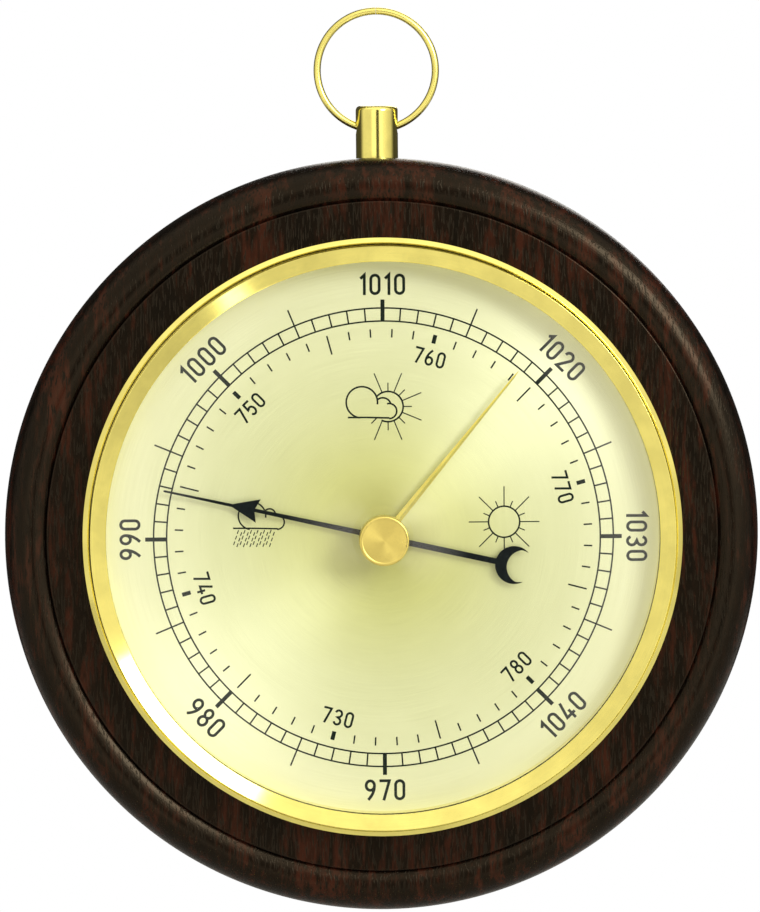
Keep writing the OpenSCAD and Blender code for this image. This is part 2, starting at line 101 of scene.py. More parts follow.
case_r = dial_box("wood_case")[1].x
ring_z = dial_box("wood_case")[1].z
bezel_r = dial_box("bezel")[1].x
crest_z = dial_box("bezel")[1].z
dial_r = dial_box("dial")[1].x
dial_z = dial_box("dial")[1].z
dial_t = dial_z - dial_box("dial")[0].z
glass_r = dial_box("glass")[1].x
glass_z0 = dial_box("glass")[0].z
glass_z1 = dial_box("glass")[1].z
hand_z0 = dial_box("pointer_hand")[0].z
hand_z1 = dial_box("pointer_hand")[1].z
set_z = glass_z0 - 0.8           # underside of the set hand
knob_r = dial_box("set_knob")[1].x
knob_top = dial_box("set_knob")[1].z
washer_z1 = dial_box("knob_washer")[1].z
stud_z = (dial_box("hanger_stud")[0].z + dial_box("hanger_stud")[1].z) / 2
stud_r = dial_box("hanger_stud")[1].x
stud_top = dial_box("hanger_stud")[1].y
hang_lo, hang_hi = dial_box("hanging_ring")
pointer_angle, pointer_len = tip_of("pointer_hand")
set_angle, set_len = tip_of("set_hand")


# ------------------------------------------------------------------ outlines


def on_circle(radius, degrees):
    """A point at a clock angle, clockwise from the top."""
    a = math.radians(degrees)
    return Vector((radius * math.sin(a), radius * math.cos(a)))


def arc(centre, rx, ry, start, end, steps):
    """Points on an ellipse between two clock angles."""
    out = []
    for k in range(steps + 1):
        a = math.radians(start + (end - start) * k / steps)
        out.append(Vector((centre[0] + rx * math.sin(a), centre[1] + ry * math.cos(a))))
    return out


def bend(a, b, c, steps=8):
    """A quadratic curve from a to c that leaves and arrives towards b."""
    out = []
    for k in range(steps + 1):
        t = k / steps
        out.append((1 - t) ** 2 * Vector(a) + 2 * t * (1 - t) * Vector(b) + t * t * Vector(c))
    return out


def filleted(corners, steps=5):
    """A closed outline through (x, y, fillet radius) corners."""
    out = []
    for i, (x, y, radius) in enumerate(corners):
        here = Vector((x, y))
        if radius <= 0:
            out.append(here)
            continue
        before = (Vector(corners[i - 1][:2]) - here).normalized()
        after = (Vector(corners[(i + 1) % len(corners)][:2]) - here).normalized()
        half = before.angle(after) / 2
        centre = here + (before + after).normalized() * radius / math.sin(half)
        start = here + before * radius / math.tan(half) - centre
        end = here + after * radius / math.tan(half) - centre
        first = math.atan2(start.y, start.x)
        turn = (math.atan2(end.y, end.x) - first + math.pi) % (2 * math.pi) - math.pi
        for k in range(steps + 1):
            a = first + turn * k / steps
            out.append(centre + radius * Vector((math.cos(a), math.sin(a))))
    return out


def guarded(outline, gap=0.06):
    """The outline with a point near both ends of each long run, so that flats shade flat."""
    out = []
    for i, here in enumerate(outline):
        there = outline[(i + 1) % len(outline)]
        run = there - here
        out.append(here)
        if run.length > 6 * gap:
            out.append(here + run.normalized() * gap)
            out.append(there - run.normalized() * gap)
    return out


def ribbon(points, width, closed=False):
    """Four-cornered cells of a stroke of that width along a line of points."""
    points = [Vector(p) for p in points]
    count = len(points)
    sides = []
    for i, here in enumerate(points):
        runs = []
        if closed or i > 0:
            runs.append((here - points[i - 1]).normalized())
        if closed or i < count - 1:
            runs.append((points[(i + 1) % count] - here).normalized())
        normals = [Vector((-r.y, r.x)) for r in runs]
        normal = sum(normals, Vector((0, 0))).normalized()
        reach = width / 2 / max(0.4, normal.dot(normals[0]))
        sides.append((here + normal * reach, here - normal * reach))
    cells = []
    for i in range(count if closed else count - 1):
        a, b = sides[i], sides[(i + 1) % count]
        cells.append([a[0], a[1], b[1], b[0]])
    return cells


def ring_cells(centre, radius, width, steps, start=0.0, end=360.0):
    """Cells of a circular line, or of part of one between two clock angles."""
    closed = end - start >= 360
    line = arc(centre, radius, radius, start, end, steps)
    return ribbon(line[:-1] if closed else line, width, closed)


# ------------------------------------------------------------------ meshes


def lathe(outline, steps=ROUND, wave=None):
    """A solid turned about the dial's axis from a closed outline of (radius, z) points.
    wave(z, angle) may change the radius, as knurling does."""
    bm = bmesh.new()
    rings = []
    for r, z in outline:
        if r < 1e-6:
            rings.append([bm.verts.new((0, 0, z))] * steps)
            continue
        ring = []
        for k in range(steps):
            a = 2 * math.pi * k / steps
            here = r + (wave(z, a) if wave else 0)
            ring.append(bm.verts.new((here * math.cos(a), here * math.sin(a), z)))
        rings.append(ring)
    for i, ring in enumerate(rings):
        other = rings[(i + 1) % len(rings)]
        for k in range(steps):
            k2 = (k + 1) % steps
            corners = list(dict.fromkeys((ring[k], other[k], other[k2], ring[k2])))
            if len(corners) > 2:
                bm.faces.new(corners)
    return bm


def plate(cells, z0, z1, whole=False):
    """One flat solid from overlapping cells. whole joins its flat faces into a single one."""
    verts, faces = [], []
    for cell in cells:
        middle = sum(cell, Vector((0, 0))) / len(cell)
        faces.append(list(range(len(verts), len(verts) + len(cell))))
        verts.extend(sorted(cell, key=lambda p: math.atan2(p.y - middle.y, p.x - middle.x)))
    flat, _, triangles, _, _, sources = delaunay_2d_cdt(verts, [], faces, 1, 1e-5)
    bm = bmesh.new()
    tops = [bm.verts.new((p.x, p.y, z1)) for p in flat]
    for triangle, source in zip(triangles, sources):
        if source:
            bm.faces.new([tops[i] for i in triangle])
    bmesh.ops.delete(bm, geom=[v for v in bm.verts if not v.link_faces], context="VERTS")
    if whole:
        bmesh.ops.dissolve_limit(bm, angle_limit=0.002, verts=bm.verts, edges=bm.edges)
    top_faces = list(bm.faces)
    base = bmesh.ops.extrude_face_region(bm, geom=top_faces, use_keep_orig=True)["geom"]
    low = [g for g in base if isinstance(g, bmesh.types.BMVert)]
    bmesh.ops.translate(bm, verts=low, vec=(0, 0, z0 - z1))
    return bm


def rod_along(path, radius, sides=32):
    """A round wire with blunt ends along a list of points in the plane of the dial."""
    bm = bmesh.new()
    rings = []
    for i, here in enumerate(path):
        run = (path[min(i + 1, len(path) - 1)] - path[max(i - 1, 0)]).normalized()
        across = Vector((-run.y, run.x, 0))
        ring = []
        for k in range(sides):
            a = 2 * math.pi * k / sides
            away = math.cos(a) * across + Vector((0, 0, math.sin(a)))
            ring.append(bm.verts.new(here + radius * away))
        rings.append(ring)
    for ring, other in zip(rings, rings[1:]):
        for k in range(sides):
            k2 = (k + 1) % sides
            bm.faces.new((ring[k], ring[k2], other[k2], other[k]))
    bm.faces.new(rings[0][::-1])
    bm.faces.new(rings[-1])
    return bm


def turned(place=(0, 0, 0), clock=0.0, axis="Z"):
    """Where a part drawn on the dial's axis goes: turned clockwise, stood along an axis, moved."""
    stand = {"Z": Matrix(), "Y": Matrix.Rotation(-math.pi / 2, 4, "X")}[axis]
    return Matrix.Translation(place) @ stand @ Matrix.Rotation(-math.radians(clock), 4, "Z")


def cut(obj, cutters):
    """Takes closed meshes in the dial's frame away from a piece."""
    bag = bpy.data.collections.new("cutters")
    for bm in cutters:
        bmesh.ops.recalc_face_normals(bm, faces=bm.faces)
        bm.transform(DIAL_FRAME)
        mesh = bpy.data.meshes.new("cutter")
        bm.to_mesh(mesh)
        bm.free()
        bag.objects.link(bpy.data.objects.new("cutter", mesh))
    step = obj.modifiers.new("cut", "BOOLEAN")
    step.operation = "DIFFERENCE"
    step.solver = "EXACT"
    step.operand_type = "COLLECTION"
    step.collection = bag
    graph = bpy.context.evaluated_depsgraph_get()
    done = bpy.data.meshes.new_from_object(obj.evaluated_get(graph))
    obj.modifiers.clear()
    obj.data = done
    for tool in list(bag.objects):
        bpy.data.objects.remove(tool)
    bpy.data.collections.remove(bag)


def piece(name, bm, material, body, stands_for=(), at=None, sharp=35, cutters=(), edge=0.0):
    """Makes a finished piece from a mesh drawn in the dial's frame."""
    bmesh.ops.recalc_face_normals(bm, faces=bm.faces)
    bm.transform(DIAL_FRAME @ (at or Matrix()))
    mesh = bpy.data.meshes.new(name)
    bm.to_mesh(mesh)
    bm.free()
    obj = bpy.data.objects.new(name, mesh)
    bpy.context.scene.collection.objects.link(obj)
    if cutters:
        cut(obj, cutters)
    if edge:
        soften(obj, edge)
    obj.data.materials.clear()
    obj.data.materials.append(material)
    obj.data.shade_smooth()
    obj.data.set_sharp_from_angle(angle=math.radians(sharp))
    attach(obj, body)
    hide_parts(*stands_for)
    return obj


def soften(obj, width, segments=2):
    """Rounds a piece's sharp edges by a width in millimetres."""
    step = obj.modifiers.new("soft_edges", "BEVEL")
    step.width = width * MM
    step.segments = segments
    step.limit_method = "ANGLE"
    step.angle_limit = math.radians(40)
    step.use_clamp_overlap = True


# ------------------------------------------------------------------ materials


class Finish:
    """One material's node tree, with short names for the nodes that it is made of."""

    def __init__(self, name):
        self.material = bpy.data.materials.new(name)
        self.material.use_nodes = True
        self.tree = self.material.node_tree
        self.shader = self.tree.nodes["Principled BSDF"]

    def add(self, kind, *values, **settings):
        """A new node, its settings, and its inputs in order. None leaves an input as it is."""
        node = self.tree.nodes.new(kind)
        for key, value in settings.items():
            setattr(node, key, value)
        for socket, value in zip(node.inputs, values):
            self.put(socket, value)
        return node

    def put(self, socket, value):
        if isinstance(value, bpy.types.NodeSocket):
            self.tree.links.new(value, socket)
        elif value is not None:
            socket.default_value = value

    def set(self, **inputs):
        """Sets the shader's inputs, named with _ for a space."""
        for key, value in inputs.items():
            self.put(self.shader.inputs[key.replace("_", " ")], value)

    def math(self, operation, a, b=None, clamp=False):
        return self.add("ShaderNodeMath", a, b, operation=operation, use_clamp=clamp).outputs[0]

    def place(self, stretch=(1, 1, 1)):
        """The surface point in millimetres of the row frame, stretched along its axes."""
        point = self.add("ShaderNodeTexCoord").outputs["Object"]
        scale = tuple(s / MM for s in stretch)
        return self.add("ShaderNodeVectorMath", point, scale, operation="MULTIPLY").outputs[0]

    def round_place(self, across, around, axis=(0, 0)):
        """A point that runs quickly with the radius about an axis along Y, and slowly round it."""
        point = self.add("ShaderNodeTexCoord").outputs["Object"]
        centred = self.add(
            "ShaderNodeVectorMath", point, (axis[0] * MM, 0, axis[1] * MM), operation="SUBTRACT"
        ).outputs[0]
        flat = self.add("ShaderNodeVectorMath", centred, (1, 0, 1), operation="MULTIPLY").outputs[0]
        radius = self.add("ShaderNodeVectorMath", flat, operation="LENGTH").outputs["Value"]
        heading = self.add("ShaderNodeVectorMath", flat, operation="NORMALIZE").outputs[0]
        turn = self.add("ShaderNodeVectorMath", heading, operation="SCALE")
        self.put(turn.inputs["Scale"], around)
        depth = self.add("ShaderNodeSeparateXYZ", centred).outputs["Y"]
        out = self.math("MULTIPLY", self.math("ADD", radius, depth), across / MM)
        lift = self.add("ShaderNodeCombineXYZ", None, out, None).outputs[0]
        return self.add("ShaderNodeVectorMath", turn.outputs[0], lift, operation="ADD").outputs[0]

    def noise(self, place, scale=1.0, detail=3.0, rough=0.55):
        node = self.add("ShaderNodeTexNoise")
        self.put(node.inputs["Vector"], place)
        self.put(node.inputs["Scale"], scale)
        self.put(node.inputs["Detail"], detail)
        self.put(node.inputs["Roughness"], rough)
        return node.outputs["Fac"]

    def ramp(self, factor, *stops):
        """A colour ramp from (position, colour) stops."""
        node = self.add("ShaderNodeValToRGB", factor)
        points = node.color_ramp.elements
        while len(points) < len(stops):
            points.new(0.5)
        for point, (position, colour) in zip(points, stops):
            point.position = position
            point.color = (*colour, 1) if len(colour) == 3 else colour
        return node.outputs["Color"]

    def span(self, value, low, high, to_low=0.0, to_high=1.0):
        """A value mapped from one range to another, held at its ends."""
        return self.add("ShaderNodeMapRange", value, low, high, to_low, to_high).outputs[0]

    def blend(self, factor, a, b, kind="MIX"):
        node = self.add("ShaderNodeMix", data_type="RGBA", blend_type=kind)
        self.put(node.inputs[0], factor)
        self.put(node.inputs[6], (*a, 1) if isinstance(a, tuple) else a)
        self.put(node.inputs[7], (*b, 1) if isinstance(b, tuple) else b)
        return node.outputs[2]

    def bump(self, height, depth, under=None):
        """A bump of that depth in millimetres."""
        node = self.add("ShaderNodeBump")
        self.put(node.inputs["Height"], height)
        self.put(node.inputs["Distance"], depth * MM)
        if under is not None:
            self.put(node.inputs["Normal"], under)
        return node.outputs["Normal"]


def wood_finish():
    f = Finish("stained_mahogany")
    drift = f.noise(f.place((0.05, 0.05, 0.02)), 1, 2)
    wander = f.add("ShaderNodeCombineXYZ", f.math("MULTIPLY", drift, 5.0)).outputs[0]
    grain = f.add("ShaderNodeVectorMath", f.place((0.8, 0.8, 0.11)), wander, operation="ADD")
    streak = f.noise(grain.outputs[0], 1, 5, 0.6)
    band = f.noise(f.place((0.11, 0.11, 0.012)), 1, 3)
    tone = f.math("ADD", f.math("MULTIPLY", streak, 0.6), f.math("MULTIPLY", band, 0.4))
    colour = f.ramp(
        tone,
        (0.40, (0.0012, 0.0008, 0.0005)),
        (0.50, (0.0042, 0.0019, 0.0010)),
        (0.61, (0.0290, 0.0070, 0.0034)),
    )
    pore_noise = f.noise(f.place((3.4, 3.4, 0.42)), 1, 1.5, 0.4)
    pores = f.span(pore_noise, 0.56, 0.66)
    colour = f.blend(pores, colour, (0.0012, 0.0009, 0.0007))
    turning = f.noise(f.round_place(3.0, 1.5), 1, 2)
    lift = f.math("SUBTRACT", f.math("MULTIPLY", turning, 0.25), pores)
    f.set(
        Base_Color=colour,
        Roughness=f.span(pores, 0, 1, 0.26, 0.42),
        Specular_IOR_Level=0.20,
        Specular_Tint=(1.0, 0.80, 0.55, 1.0),
        Normal=f.bump(lift, 0.02),
    )
    return f.material


def brass_finish(name, colour, rough, lines=0.0, mottling=0.06, depth=0.0015, anisotropy=0.0):
    """Polished or turned brass, lacquered. lines is how strong the turning marks are."""
    f = Finish(name)
    cloud = f.noise(f.place((0.18, 0.18, 0.18)), 1, 4)
    fine = f.noise(f.round_place(9.0, 5.0), 1, 3)
    dull = tuple(c * (1 - 3 * mottling) for c in colour)
    tint = f.blend(f.span(cloud, 0.35, 0.7), colour, dull)
    if lines:
        tint = f.blend(f.span(fine, 0.35, 0.65, 0, lines), tint, dull)
    f.set(
        Base_Color=tint,
        Metallic=1.0,
        Roughness=f.span(cloud, 0.3, 0.7, rough * 0.8, rough * 1.25),
        Normal=f.bump(fine, depth),
    )
    if anisotropy:
        round_axis = f.add("ShaderNodeTangent", direction_type="RADIAL", axis="Y").outputs[0]
        f.set(Anisotropic=anisotropy, Tangent=round_axis)
    return f.material


def dial_finish():
    """Circular-brushed, silvered and lacquered dial plate with a champagne tone, with painted shade towards
    the centre and painted light towards the rim.
    """
    f = Finish("brushed_dial")
    fine = f.noise(f.round_place(6.0, 2.2), 1, 4, 0.6)
    broad = f.noise(f.round_place(0.25, 3.0), 1, 3)
    radius = f.add("ShaderNodeVectorMath", f.place((1, 0, 1)), operation="LENGTH").outputs["Value"]
    # Painted light and shade: the base colour runs from darker at the centre, painted shade round the knob,
    # to lighter at the rim, painted light that makes up for the bezel's shade on the dial's edge.
    colour = f.ramp(
        f.math("DIVIDE", radius, dial_r),
        (0.10, (0.55, 0.55, 0.16)),
        (0.25, (0.64, 0.655, 0.23)),
        (0.53, (0.72, 0.745, 0.41)),
        (0.95, (0.86, 0.88, 0.59)),
    )
    marks = f.math("ADD", f.math("MULTIPLY", fine, 0.7), f.math("MULTIPLY", broad, 0.3))
    shade = f.ramp(marks, (0.35, (0.90, 0.90, 0.84)), (0.65, (1, 1, 1)))
    colour = f.blend(1.0, colour, shade, "MULTIPLY")
    f.set(
        Base_Color=colour,
        Metallic=0.18,
        Roughness=f.span(fine, 0.3, 0.7, 0.45, 0.53),
        IOR=1.9,
        Specular_IOR_Level=1.0,
        Anisotropic=0.85,
        Anisotropic_Rotation=0.25,
        Tangent=f.add("ShaderNodeTangent", direction_type="RADIAL", axis="Y").outputs[0],
        Normal=f.bump(fine, 0.0015),
    )
    return f.material


def ink_finish():
    f = Finish("dial_ink")
    speck = f.noise(f.place((3, 3, 3)), 1, 3)
    f.set(
        Base_Color=f.ramp(speck, (0.35, (0.005, 0.010, 0.007)), (0.7, (0.012, 0.020, 0.014))),
        Roughness=0.6,
        Specular_IOR_Level=0.1,
        Normal=f.bump(speck, 0.003),
    )
    return f.material


def lacquer_finish():
    """Black lacquer of the pointer."""
    f = Finish("pointer_black")
    speck = f.noise(f.place((1.5, 1.5, 1.5)), 1, 3)
    f.set(
        Base_Color=f.ramp(speck, (0.3, (0.003, 0.005, 0.006)), (0.7, (0.007, 0.011, 0.012))),
        Roughness=f.span(speck, 0.3, 0.7, 0.30, 0.42),
        Specular_IOR_Level=0.09,
        Normal=f.bump(speck, 0.002),
    )
    return f.material


def steel_finish(name, colour, rough, stretch):
    f = Finish(name)
    brushed = f.noise(f.place(stretch), 1, 4)
    cloud = f.noise(f.place((0.2, 0.2, 0.2)), 1, 3)
    darker = tuple(c * 0.8 for c in colour)
    f.set(
        Base_Color=f.blend(f.span(cloud, 0.3, 0.7), colour, darker),
        Metallic=1.0,
        Roughness=f.span(brushed, 0.3, 0.7, rough * 0.8, rough * 1.3),
        Normal=f.bump(brushed, 0.004),
    )
    return f.material


def glass_finish():
    """Clear flat glass: what is behind shows through, and the surface mirrors a little."""
    f = Finish("window_glass")
    nodes = f.tree.nodes
    nodes.remove(f.shader)
    smudge = f.noise(f.place((0.06, 0.06, 0.06)), 1, 3)
    mirror = f.add("ShaderNodeBsdfAnisotropic")
    f.put(mirror.inputs["Color"], (1, 1, 1, 1))
    f.put(mirror.inputs["Roughness"], f.span(smudge, 0.3, 0.7, 0.01, 0.04))
    clear = f.add("ShaderNodeBsdfTransparent")
    f.put(clear.inputs["Color"], (0.985, 0.992, 0.985, 1))
    slant = f.add("ShaderNodeLayerWeight", 0.5).outputs["Facing"]
    share = f.span(f.math("POWER", slant, 5.0), 0, 1, 0.03, 1.0)
    both = f.add("ShaderNodeMixShader", share, clear.outputs[0], mirror.outputs[0])
    f.put(nodes["Material Output"].inputs["Surface"], both.outputs[0])
    return f.material


def floor_finish():
    f = Finish("pale_floor")
    cloud = f.noise(f.place((0.01, 0.01, 0.01)), 1, 3)
    f.set(
        Base_Color=f.ramp(cloud, (0.3, (0.66, 0.66, 0.65)), (0.7, (0.71, 0.71, 0.70))),
        Roughness=0.75,
    )
    return f.material


GILT = (0.98, 0.88, 0.25)
YELLOW_BRASS = (0.84, 0.69, 0.19)
FINISHES = {
    "mahogany": wood_finish(),
    "gilt_bezel": brass_finish("gilt_bezel", GILT, 0.09, lines=0.25, depth=0.0006),
    "gilt_ring": brass_finish("gilt_stud", GILT, 0.15, mottling=0.08),
    "wire": brass_finish("drawn_gilt_wire", GILT, 0.28, mottling=0.08),
    "knob_brass": brass_finish("turned_knob", YELLOW_BRASS, 0.30, lines=0.8, depth=0.004, anisotropy=0.6),
    "movement_brass": brass_finish("milled_brass", (0.80, 0.62, 0.30), 0.32, lines=0.5, depth=0.004),
    "steel": steel_finish("machined_steel", (0.56, 0.56, 0.57), 0.28, (0.6, 4, 4)),
    "nickel_silver": steel_finish("nickel_silver", (0.66, 0.63, 0.56), 0.32, (3, 0.5, 3)),
    "can_sheet": brass_finish("rolled_sheet", (0.62, 0.52, 0.32), 0.38, lines=0.4, mottling=0.1, depth=0.004),
    "blued_steel": lacquer_finish(),
    "dial_brushed": dial_finish(),
    "set_hand_gilt": brass_finish("gilt_hand", (0.96, 0.82, 0.22), 0.16),
    "window_glass": glass_finish(),
    "ink": ink_finish(),
}


# ------------------------------------------------------------------ case


def case_outline():
    """The turned case in section: a big bead round a flat ring with a sharp outer edge."""
    arris_r = case_r - 7.3
    bead_r = 4.6
    bead_z = ring_z - bead_r
    pocket_r = 49.6
    open_r = 30
    floor_z = 4
    down = math.degrees(math.asin((arris_r - case_r + bead_r) / bead_r))
    bead = arc((case_r - bead_r, bead_z), bead_r, bead_r, 90, down, 28)
    corners = filleted([
        (arris_r, ring_z, 0.28), (pocket_r, ring_z, 0.3), (pocket_r, floor_z, 0),
        (open_r, floor_z, 0.3), (open_r, 0, 0.5), (case_r, 0, 2.2),
    ])
    return guarded(bead + corners)


def drill(places, radius, depth, steps=48):
    """Cylinders that cut round holes of that depth into the back face."""
    out = []
    for x, y in places:
        bm = lathe([Vector(p) for p in ((0, -1), (radius, -1), (radius, depth), (0, depth))], steps)
        bm.transform(turned((x, y, 0)))
        out.append(bm)
    return out


def make_case():
    screws = [on_circle(40.5, a) for a in (30, 150, 270)]
    seat = lathe([Vector(p) for p in ((0, 0), (stud_r + 0.1, 0), (stud_r + 0.1, 3), (0, 3))], 96)
    seat.transform(turned((0, case_r - 0.15, stud_z), axis="Y"))
    cutters = drill(screws, 1.55, 6) + drill(screws, 3.2, 1.8) + [seat]
    piece("turned_case", lathe(case_outline()), FINISHES["mahogany"], "case",
          ["wood_case"], cutters=cutters)


def make_stud():
    """The stud stands on the case's side, with a hole across it for the ring's wire."""
    seat_y = case_r - 0.15
    eye_y = stud_top - 3.76
    height = stud_top - seat_y
    corners = [
        (0, -2, 0), (2, -2, 0), (2, 0, 0), (stud_r, 0, 0.08), (stud_r, height, 0.8), (0, height, 0),
    ]
    outline = filleted(corners, 8)
    eye = lathe([Vector(p) for p in ((0, -6), (1.1, -6), (1.1, 6), (0, 6))], 64)
    eye.transform(Matrix.Translation((0, eye_y, stud_z)) @ Matrix.Rotation(math.pi / 2, 4, "Y"))
    bm = lathe(guarded(outline), SMALL_ROUND)
    at = turned((0, seat_y, stud_z), axis="Y")
    piece("hanger_stud_turned", bm, FINISHES["gilt_ring"], "case",
          ["hanger_stud"], at=at, cutters=[eye])


def make_hanging_ring():
    """A ring bent from wire, its two ends meeting at the top."""
    wire_r = (hang_hi.z - hang_lo.z) / 2
    ring_r = (hang_hi.x - hang_lo.x) / 2 - wire_r
    centre = Vector((0, (hang_hi.y + hang_lo.y) / 2, (hang_hi.z + hang_lo.z) / 2))
    gap = 0.4
    steps = 240
    path = []
    for k in range(steps + 1):
        p = on_circle(ring_r, gap / 2 + (360 - gap) * k / steps)
        path.append(centre + Vector((p.x, p.y, 0)))
    piece("hanging_ring_wire", rod_along(path, wire_r), FINISHES["wire"], "ring",
          ["hanging_ring"], edge=0.02)


# ------------------------------------------------------------------ bezel, glass and dial


def make_bezel():
    """Spun bezel: a rounded outer rim, a groove, and a bright band that slopes in to the glass."""
    rim_r = bezel_r - 0.2        # outer rim
    band_r = rim_r - 1.4         # outer edge of the bright band
    lip_r = 47.45                # inner edge, over the glass
    bore_r = 48.6                # inside, where the glass and spacer stand
    wall_r = 50.9                # inside of the rim
    corners = [
        (rim_r, ring_z, 0.1), (rim_r, ring_z + 1.55, 0.2), (band_r + 0.46, ring_z + 2.2, 0.1),
        (band_r + 0.38, ring_z + 1.1, 0.04), (band_r + 0.02, ring_z + 1.1, 0.04), (band_r, crest_z, 0.1),
        (lip_r, crest_z - 1.12, 0.12), (lip_r, glass_z1, 0.0), (bore_r, glass_z1, 0),
        (bore_r, ring_z + 0.6, 0), (wall_r, ring_z + 0.6, 0), (wall_r, ring_z, 0),
    ]
    bm = lathe(guarded(filleted(corners, 6), 0.04))
    piece("spun_bezel", bm, FINISHES["gilt_bezel"], "case", ["bezel"], sharp=40)


def make_glass():
    bore_r = 1.25
    corners = [
        (glass_r, glass_z0, 0.2), (glass_r, glass_z1, 0.2),
        (bore_r, glass_z1, 0.15), (bore_r, glass_z0, 0.15),
    ]
    disc = lathe(filleted(corners, 3), 180)
    piece("flat_glass", disc, FINISHES["window_glass"], "case", ["glass"])


def make_dial_plate():
    bore_r = 2.55
    back_z = dial_z - dial_t
    corners = [(dial_r, back_z, 0), (dial_r, dial_z, 0.1), (bore_r, dial_z, 0.08), (bore_r, back_z, 0)]
    bm = lathe(guarded(filleted(corners, 3)))
    piece("dial_plate", bm, FINISHES["dial_brushed"], "case", ["dial"])


# ------------------------------------------------------------------ dial print

PRINT_Z = (dial_z - 0.01, dial_z + 0.015)
# The next two are fitted, not measured: they may stand for a print that is off centre, or make up
# for a small error of the camera.
PRINT_SHIFT = (0.18, -0.19, 0)
PRINT_TURN = 0.22                # degrees clockwise
MID_HPA = 1010                   # stands at the top of the dial
HPA_DEG = 4.5                    # degrees for one hPa
HPA_STEPS = 80
MMHG_DEG = 6.0                   # degrees for one mmHg
MMHG_STEPS = 60
MMHG_TOP = 757.57                # pressure in mmHg at the top of the dial
TRACK_IN = 37.31
TRACK_OUT = 39.55
FINE = 0.27                      # width of the thin lines
BOLD = 0.70                      # width of the marks at the tens


def spoke(clock, r0, r1, width):
    """One cell of a radial line."""
    return ribbon([on_circle(r0, clock), on_circle(r1, clock)], width)


def print_piece(name, cells, at=None):
    """Ink on the dial, with the fitted shift and turn of the whole print."""
    at = turned(PRINT_SHIFT, PRINT_TURN) @ (at or Matrix())
    piece(name, plate(cells, *PRINT_Z), FINISHES["ink"], "case", at=at)


def print_hpa_scale():
    cells = ring_cells((0, 0), TRACK_IN, FINE, 240) + ring_cells((0, 0), TRACK_OUT, FINE, 240)
    for k in range(HPA_STEPS):
        clock = k * HPA_DEG
        if k % 10 == 0:
            cells += spoke(clock, TRACK_IN, 41.0, BOLD)
        elif k % 5 == 0:
            cells += spoke(clock, TRACK_IN, 42.5, FINE)
        else:
            cells += spoke(clock, TRACK_IN, TRACK_OUT, FINE)
    print_piece("scale_hpa", cells)


def print_mmhg_scale():
    cells = []
    for k in range(730, 730 + MMHG_STEPS):
        clock = (k - MMHG_TOP) * MMHG_DEG
        if k % 10 == 0:
            cells += spoke(clock, 34.5, 36.0, BOLD)
        elif k % 5 == 0:
            cells += spoke(clock, 32.8, 36.1, FINE)
        else:
            cells += spoke(clock, 34.5, 35.95, FINE)
    print_piece("scale_mmhg", cells)


# Figures are drawn in a box one unit high with a single stroke, as on an engraved dial.
STROKE = 0.135
BODY_W = 0.526                   # width of most figures
ONE_W = 0.29
LETTER_GAP = 0.17
EDGE = STROKE / 2
MID = BODY_W / 2
SIDE = MID - EDGE                # half width of a bowl's centre line


def figure_strokes(figure):
    """Lines of one figure as (points, closed)."""
    top, low = 1 - EDGE - SIDE, EDGE + SIDE
    bowl_y, bowl_h = EDGE + 0.225, 0.225
    if figure == "0":
        over = arc((MID, top), SIDE, SIDE, -90, 90, 12)
        under = arc((MID, low), SIDE, SIDE, 90, 270, 12)
        return [(over + under, True)]
    if figure == "1":
        stem = ONE_W - EDGE
        return [([(0.035, 0.77), (stem, 0.945), (stem, 0)], False)]
    if figure == "2":
        return [(arc((MID, top), SIDE, SIDE, -95, 118, 14) + [(EDGE + 0.01, EDGE), (BODY_W, EDGE)], False)]
    if figure == "3":
        upper = arc((MID, 0.5 + SIDE + 0.03), SIDE, SIDE + 0.01, -75, 155, 14)
        lower = arc((MID, low), SIDE, SIDE + 0.01, 25, 255, 14)
        return [(upper + [(MID - 0.02, 0.5)] + lower, False)]
    if figure == "4":
        bar_y = 0.26
        return [
            ([(MID + 0.02, 1.0), (EDGE, bar_y), (BODY_W + 0.03, bar_y)], False),
            ([(MID + 0.11, 0.50), (MID + 0.11, 0)], False),
        ]
    if figure == "5":
        hook = arc((MID, bowl_y + 0.03), SIDE, bowl_h + 0.03, -40, 240, 18)
        return [([(BODY_W - 0.03, 1 - EDGE), (EDGE + 0.03, 1 - EDGE), (EDGE + 0.01, 0.50)] + hook, False)]
    if figure == "6":
        stem = bend((EDGE, bowl_y + 0.02), (EDGE, 0.66), (MID + 0.10, 0.97))
        return [(arc((MID, bowl_y), SIDE, bowl_h, 0, 360, 28)[:-1], True), (stem, False)]
    if figure == "7":
        return [([(0.0, 1 - EDGE), (BODY_W - 0.06, 1 - EDGE), (MID - 0.06, 0)], False)]
    if figure == "8":
        head_h = (1 - 2 * EDGE - 2 * bowl_h) / 2
        head = arc((MID, 1 - EDGE - head_h), SIDE - 0.02, head_h, 0, 360, 24)[:-1]
        return [(head, True), (arc((MID, bowl_y), SIDE, bowl_h, 0, 360, 28)[:-1], True)]
    if figure == "9":
        return [([(BODY_W - x, 1 - y) for x, y in line], closed) for line, closed in figure_strokes("6")]
    raise ValueError(figure)


def number_cells(number, height):
    """Cells of an upright number about its own middle."""
    figures = str(number)
    widths = [ONE_W if c == "1" else BODY_W for c in figures]
    start = -(sum(widths) + LETTER_GAP * (len(figures) - 1)) / 2
    cells = []
    for figure, width in zip(figures, widths):
        for line, closed in figure_strokes(figure):
            placed = [height * Vector((start + p[0], p[1] - 0.5)) for p in line]
            cells += ribbon(placed, STROKE * height, closed)
        start += width + LETTER_GAP
    return cells


def print_number(value, height, radius, clock, tops_out):
    """A number set round the dial at a clock angle, its top outwards or towards the centre."""
    middle = on_circle(radius, clock)
    at = turned((middle.x, middle.y, 0), clock if tops_out else clock + 180)
    print_piece(f"number_{value}", number_cells(value, height), at)


